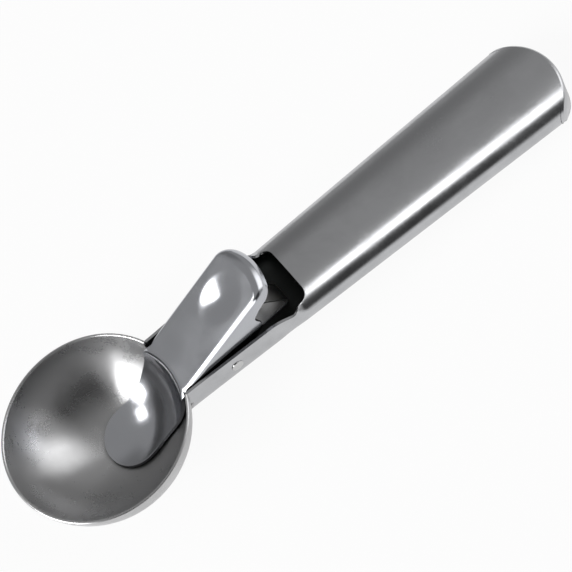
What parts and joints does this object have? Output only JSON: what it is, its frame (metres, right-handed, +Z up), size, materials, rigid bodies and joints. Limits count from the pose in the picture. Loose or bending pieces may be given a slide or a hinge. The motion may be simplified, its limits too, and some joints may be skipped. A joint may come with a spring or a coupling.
{
  "type": "lever ice cream scoop",
  "caption": "Steel ice cream scoop with a round bowl, a hollow tapering handle and a sprung thumb lever whose tongue lifts out of the bowl to push the ball free.",
  "frame": {"origin": "on the table under the middle of the scoop's length and width, as the scoop lies on its bowl and the heel of its handle", "axes": "+X back along the handle, +Z up, +Y to the left when looking along the handle from the bowl"},
  "size_m": [0.1905, 0.054, 0.0351],
  "materials": {
    "polished_sheet": "semi-polished stainless sheet",
    "brushed_sheet": "satin stainless sheet, brushed lengthwise",
    "weld": "ground weld metal",
    "pin_steel": "bright formed rivet",
    "spring_steel": "polished spring strip"
  },
  "bodies": {
    "scoop": {"bowl": "polished_sheet", "handle_shell": "brushed_sheet", "end_cap": "brushed_sheet", "seam_weld": "weld", "neck_weld": "weld", "pivot_pin": "pin_steel", "return_spring": "spring_steel", "spring_rivet": "pin_steel"},
    "lever": {"lever": "polished_sheet"}
  },
  "joints": [
    {"name": "lever_pivot", "type": "hinge", "parent": "scoop", "child": "lever", "pos_m": [-0.0283, 0, 0.01547], "axis": [0, 1, 0], "range_deg": [0, 20], "stiffness_Nm_per_rad": 0.15, "springref_deg": -20.05, "deforming": ["return_spring"]}
  ]
}
